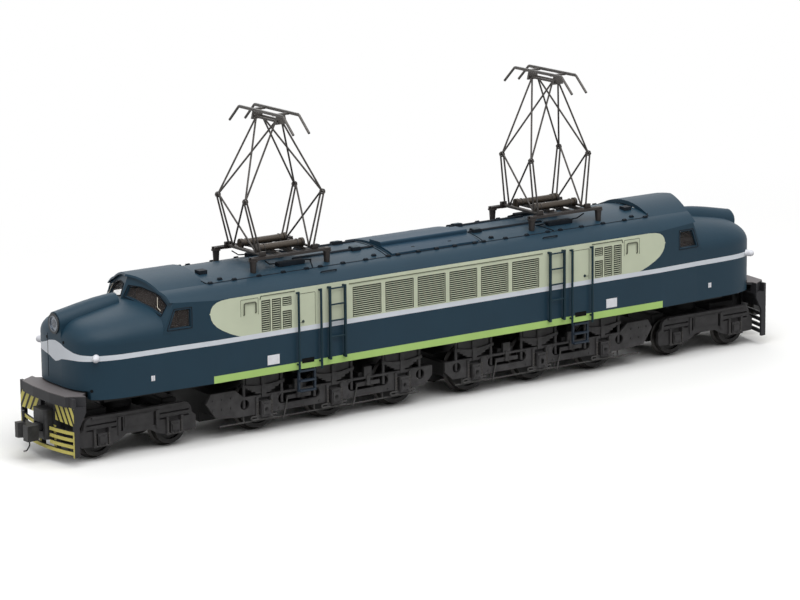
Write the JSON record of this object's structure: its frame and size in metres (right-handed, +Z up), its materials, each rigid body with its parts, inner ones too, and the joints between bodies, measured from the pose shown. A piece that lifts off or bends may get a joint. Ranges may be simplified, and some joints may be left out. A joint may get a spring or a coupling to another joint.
{
  "type": "model electric locomotive",
  "caption": "Scale model of a double-ended electric locomotive with streamlined noses, jointed trucks, couplers and folding diamond pantographs.",
  "frame": {"origin": "middle of the model's bounding box in plan, at the height of the wheel flanges' lowest points", "axes": "+X along the loco towards end b, -Y towards the side seen in the picture, +Z up"},
  "size_m": [0.2648, 0.0388, 0.092],
  "materials": {
    "body_paint": "satin paint",
    "dark_trim": "matt paint",
    "truck_grey": "matt paint over zinc die casting",
    "wheel_steel": "turned, darkened",
    "pantograph_steel": "matt brown-black paint on steel rod",
    "lamp_metal": "polished",
    "glazing": "clear",
    "pilot_paint": "satin paint"
  },
  "bodies": {
    "loco_body": {"body_shell": "body_paint", "louvre_grilles": "body_paint", "corner_lamps": "lamp_metal", "roof_hatch": "body_paint", "roof_vents": "dark_trim", "chassis_frame": "dark_trim", "truck_pivots": "dark_trim", "motor_block": "dark_trim", "side_ladders": "body_paint", "door_handrails": "body_paint", "door_steps": "truck_grey", "cab_glazing_a": "glazing", "cab_glazing_b": "glazing", "head_lamp_a": "lamp_metal", "head_lamp_b": "lamp_metal", "pilot_a": "pilot_paint", "pilot_b": "pilot_paint", "draft_box_a": "dark_trim", "draft_box_b": "dark_trim", "pantograph_base_a": "pantograph_steel", "pantograph_base_b": "pantograph_steel"},
    "power_truck_a": {"power_truck_a": "truck_grey"},
    "guide_truck_a": {"guide_truck_a": "truck_grey"},
    "driver_a1": {"driver_a1": "wheel_steel"},
    "driver_a2": {"driver_a2": "wheel_steel"},
    "driver_a3": {"driver_a3": "wheel_steel"},
    "guide_wheels_a1": {"guide_wheels_a1": "wheel_steel"},
    "guide_wheels_a2": {"guide_wheels_a2": "wheel_steel"},
    "coupler_a": {"coupler_a": "wheel_steel"},
    "lower_arm_a_outer": {"lower_arm_a_outer": "pantograph_steel"},
    "upper_arm_a_outer": {"upper_arm_a_outer": "pantograph_steel"},
    "lower_arm_a_inner": {"lower_arm_a_inner": "pantograph_steel"},
    "upper_arm_a_inner": {"upper_arm_a_inner": "pantograph_steel"},
    "collector_a": {"collector_a": "pantograph_steel"},
    "power_truck_b": {"power_truck_b": "truck_grey"},
    "guide_truck_b": {"guide_truck_b": "truck_grey"},
    "driver_b1": {"driver_b1": "wheel_steel"},
    "driver_b2": {"driver_b2": "wheel_steel"},
    "driver_b3": {"driver_b3": "wheel_steel"},
    "guide_wheels_b1": {"guide_wheels_b1": "wheel_steel"},
    "guide_wheels_b2": {"guide_wheels_b2": "wheel_steel"},
    "coupler_b": {"coupler_b": "wheel_steel"},
    "lower_arm_b_inner": {"lower_arm_b_inner": "pantograph_steel"},
    "upper_arm_b_inner": {"upper_arm_b_inner": "pantograph_steel"},
    "lower_arm_b_outer": {"lower_arm_b_outer": "pantograph_steel"},
    "upper_arm_b_outer": {"upper_arm_b_outer": "pantograph_steel"},
    "collector_b": {"collector_b": "pantograph_steel"}
  },
  "joints": [
    {"name": "power_truck_a_swivel", "type": "hinge", "parent": "loco_body", "child": "power_truck_a", "pos_m": [-0.037, 0, 0.0141], "axis": [0, 0, 1], "range_deg": [-3, 3]},
    {"name": "guide_truck_a_swivel", "type": "hinge", "parent": "loco_body", "child": "guide_truck_a", "pos_m": [-0.10205, 0, 0.0141], "axis": [0, 0, 1], "range_deg": [-4, 4]},
    {"name": "driver_a1_spin", "type": "hinge", "parent": "power_truck_a", "child": "driver_a1", "pos_m": [-0.013, 0, 0.0076], "axis": [0, 1, 0], "continuous": true},
    {"name": "driver_a2_spin", "type": "hinge", "parent": "power_truck_a", "child": "driver_a2", "pos_m": [-0.037, 0, 0.0076], "axis": [0, 1, 0], "continuous": true},
    {"name": "driver_a3_spin", "type": "hinge", "parent": "power_truck_a", "child": "driver_a3", "pos_m": [-0.061, 0, 0.0076], "axis": [0, 1, 0], "continuous": true},
    {"name": "guide_wheels_a1_spin", "type": "hinge", "parent": "guide_truck_a", "child": "guide_wheels_a1", "pos_m": [-0.0903, 0, 0.00615], "axis": [0, 1, 0], "continuous": true},
    {"name": "guide_wheels_a2_spin", "type": "hinge", "parent": "guide_truck_a", "child": "guide_wheels_a2", "pos_m": [-0.1138, 0, 0.00615], "axis": [0, 1, 0], "continuous": true},
    {"name": "coupler_a_swing", "type": "hinge", "parent": "loco_body", "child": "coupler_a", "pos_m": [-0.122, 0, 0.0095], "axis": [0, 0, 1], "range_deg": [-10, 10]},
    {"name": "pantograph_a_fold", "type": "hinge", "parent": "loco_body", "child": "lower_arm_a_outer", "pos_m": [-0.0581, 0, 0.0507], "axis": [0, -1, 0], "range_deg": [-10, 60]},
    {"name": "upper_arm_a_outer_fold", "type": "hinge", "parent": "lower_arm_a_outer", "child": "upper_arm_a_outer", "pos_m": [-0.06227, 0, 0.06625], "axis": [0, -1, 0], "range_deg": [-103.82, 17.72]},
    {"name": "lower_arm_a_inner_fold", "type": "hinge", "parent": "loco_body", "child": "lower_arm_a_inner", "pos_m": [-0.0403, 0, 0.0507], "axis": [0, 1, 0], "range_deg": [-10, 60]},
    {"name": "upper_arm_a_inner_fold", "type": "hinge", "parent": "lower_arm_a_inner", "child": "upper_arm_a_inner", "pos_m": [-0.03613, 0, 0.06625], "axis": [0, 1, 0], "range_deg": [-103.82, 17.72]},
    {"name": "collector_a_level", "type": "hinge", "parent": "upper_arm_a_outer", "child": "collector_a", "pos_m": [-0.0502, 0, 0.0878], "axis": [0, -1, 0], "range_deg": [-7.72, 43.82]},
    {"name": "power_truck_b_swivel", "type": "hinge", "parent": "loco_body", "child": "power_truck_b", "pos_m": [0.037, 0, 0.0141], "axis": [0, 0, 1], "range_deg": [-3, 3]},
    {"name": "guide_truck_b_swivel", "type": "hinge", "parent": "loco_body", "child": "guide_truck_b", "pos_m": [0.10205, 0, 0.0141], "axis": [0, 0, 1], "range_deg": [-4, 4]},
    {"name": "driver_b1_spin", "type": "hinge", "parent": "power_truck_b", "child": "driver_b1", "pos_m": [0.013, 0, 0.0076], "axis": [0, 1, 0], "continuous": true},
    {"name": "driver_b2_spin", "type": "hinge", "parent": "power_truck_b", "child": "driver_b2", "pos_m": [0.037, 0, 0.0076], "axis": [0, 1, 0], "continuous": true},
    {"name": "driver_b3_spin", "type": "hinge", "parent": "power_truck_b", "child": "driver_b3", "pos_m": [0.061, 0, 0.0076], "axis": [0, 1, 0], "continuous": true},
    {"name": "guide_wheels_b1_spin", "type": "hinge", "parent": "guide_truck_b", "child": "guide_wheels_b1", "pos_m": [0.0903, 0, 0.00615], "axis": [0, 1, 0], "continuous": true},
    {"name": "guide_wheels_b2_spin", "type": "hinge", "parent": "guide_truck_b", "child": "guide_wheels_b2", "pos_m": [0.1138, 0, 0.00615], "axis": [0, 1, 0], "continuous": true},
    {"name": "coupler_b_swing", "type": "hinge", "parent": "loco_body", "child": "coupler_b", "pos_m": [0.122, 0, 0.0095], "axis": [0, 0, 1], "range_deg": [-10, 10]},
    {"name": "pantograph_b_fold", "type": "hinge", "parent": "loco_body", "child": "lower_arm_b_inner", "pos_m": [0.0403, 0, 0.0507], "axis": [0, -1, 0], "range_deg": [-3, 68.5]},
    {"name": "upper_arm_b_inner_fold", "type": "hinge", "parent": "lower_arm_b_inner", "child": "upper_arm_b_inner", "pos_m": [0.03848, 0, 0.0667], "axis": [0, -1, 0], "range_deg": [-118.39, 5.66]},
    {"name": "lower_arm_b_outer_fold", "type": "hinge", "parent": "loco_body", "child": "lower_arm_b_outer", "pos_m": [0.0581, 0, 0.0507], "axis": [0, 1, 0], "range_deg": [-3, 68.5]},
    {"name": "upper_arm_b_outer_fold", "type": "hinge", "parent": "lower_arm_b_outer", "child": "upper_arm_b_outer", "pos_m": [0.05992, 0, 0.0667], "axis": [0, 1, 0], "range_deg": [-118.39, 5.66]},
    {"name": "collector_b_level", "type": "hinge", "parent": "upper_arm_b_inner", "child": "collector_b", "pos_m": [0.0482, 0, 0.0894], "axis": [0, -1, 0], "range_deg": [-2.66, 49.89]}
  ],
  "couplings": [
    {"joint": "upper_arm_a_outer_fold", "follows": "pantograph_a_fold", "ratio": -1.722},
    {"joint": "lower_arm_a_inner_fold", "follows": "pantograph_a_fold", "ratio": 1},
    {"joint": "upper_arm_a_inner_fold", "follows": "pantograph_a_fold", "ratio": -1.722},
    {"joint": "collector_a_level", "follows": "pantograph_a_fold", "ratio": 0.722},
    {"joint": "upper_arm_b_inner_fold", "follows": "pantograph_b_fold", "ratio": -1.721},
    {"joint": "lower_arm_b_outer_fold", "follows": "pantograph_b_fold", "ratio": 1},
    {"joint": "upper_arm_b_outer_fold", "follows": "pantograph_b_fold", "ratio": -1.721},
    {"joint": "collector_b_level", "follows": "pantograph_b_fold", "ratio": 0.721}
  ]
}
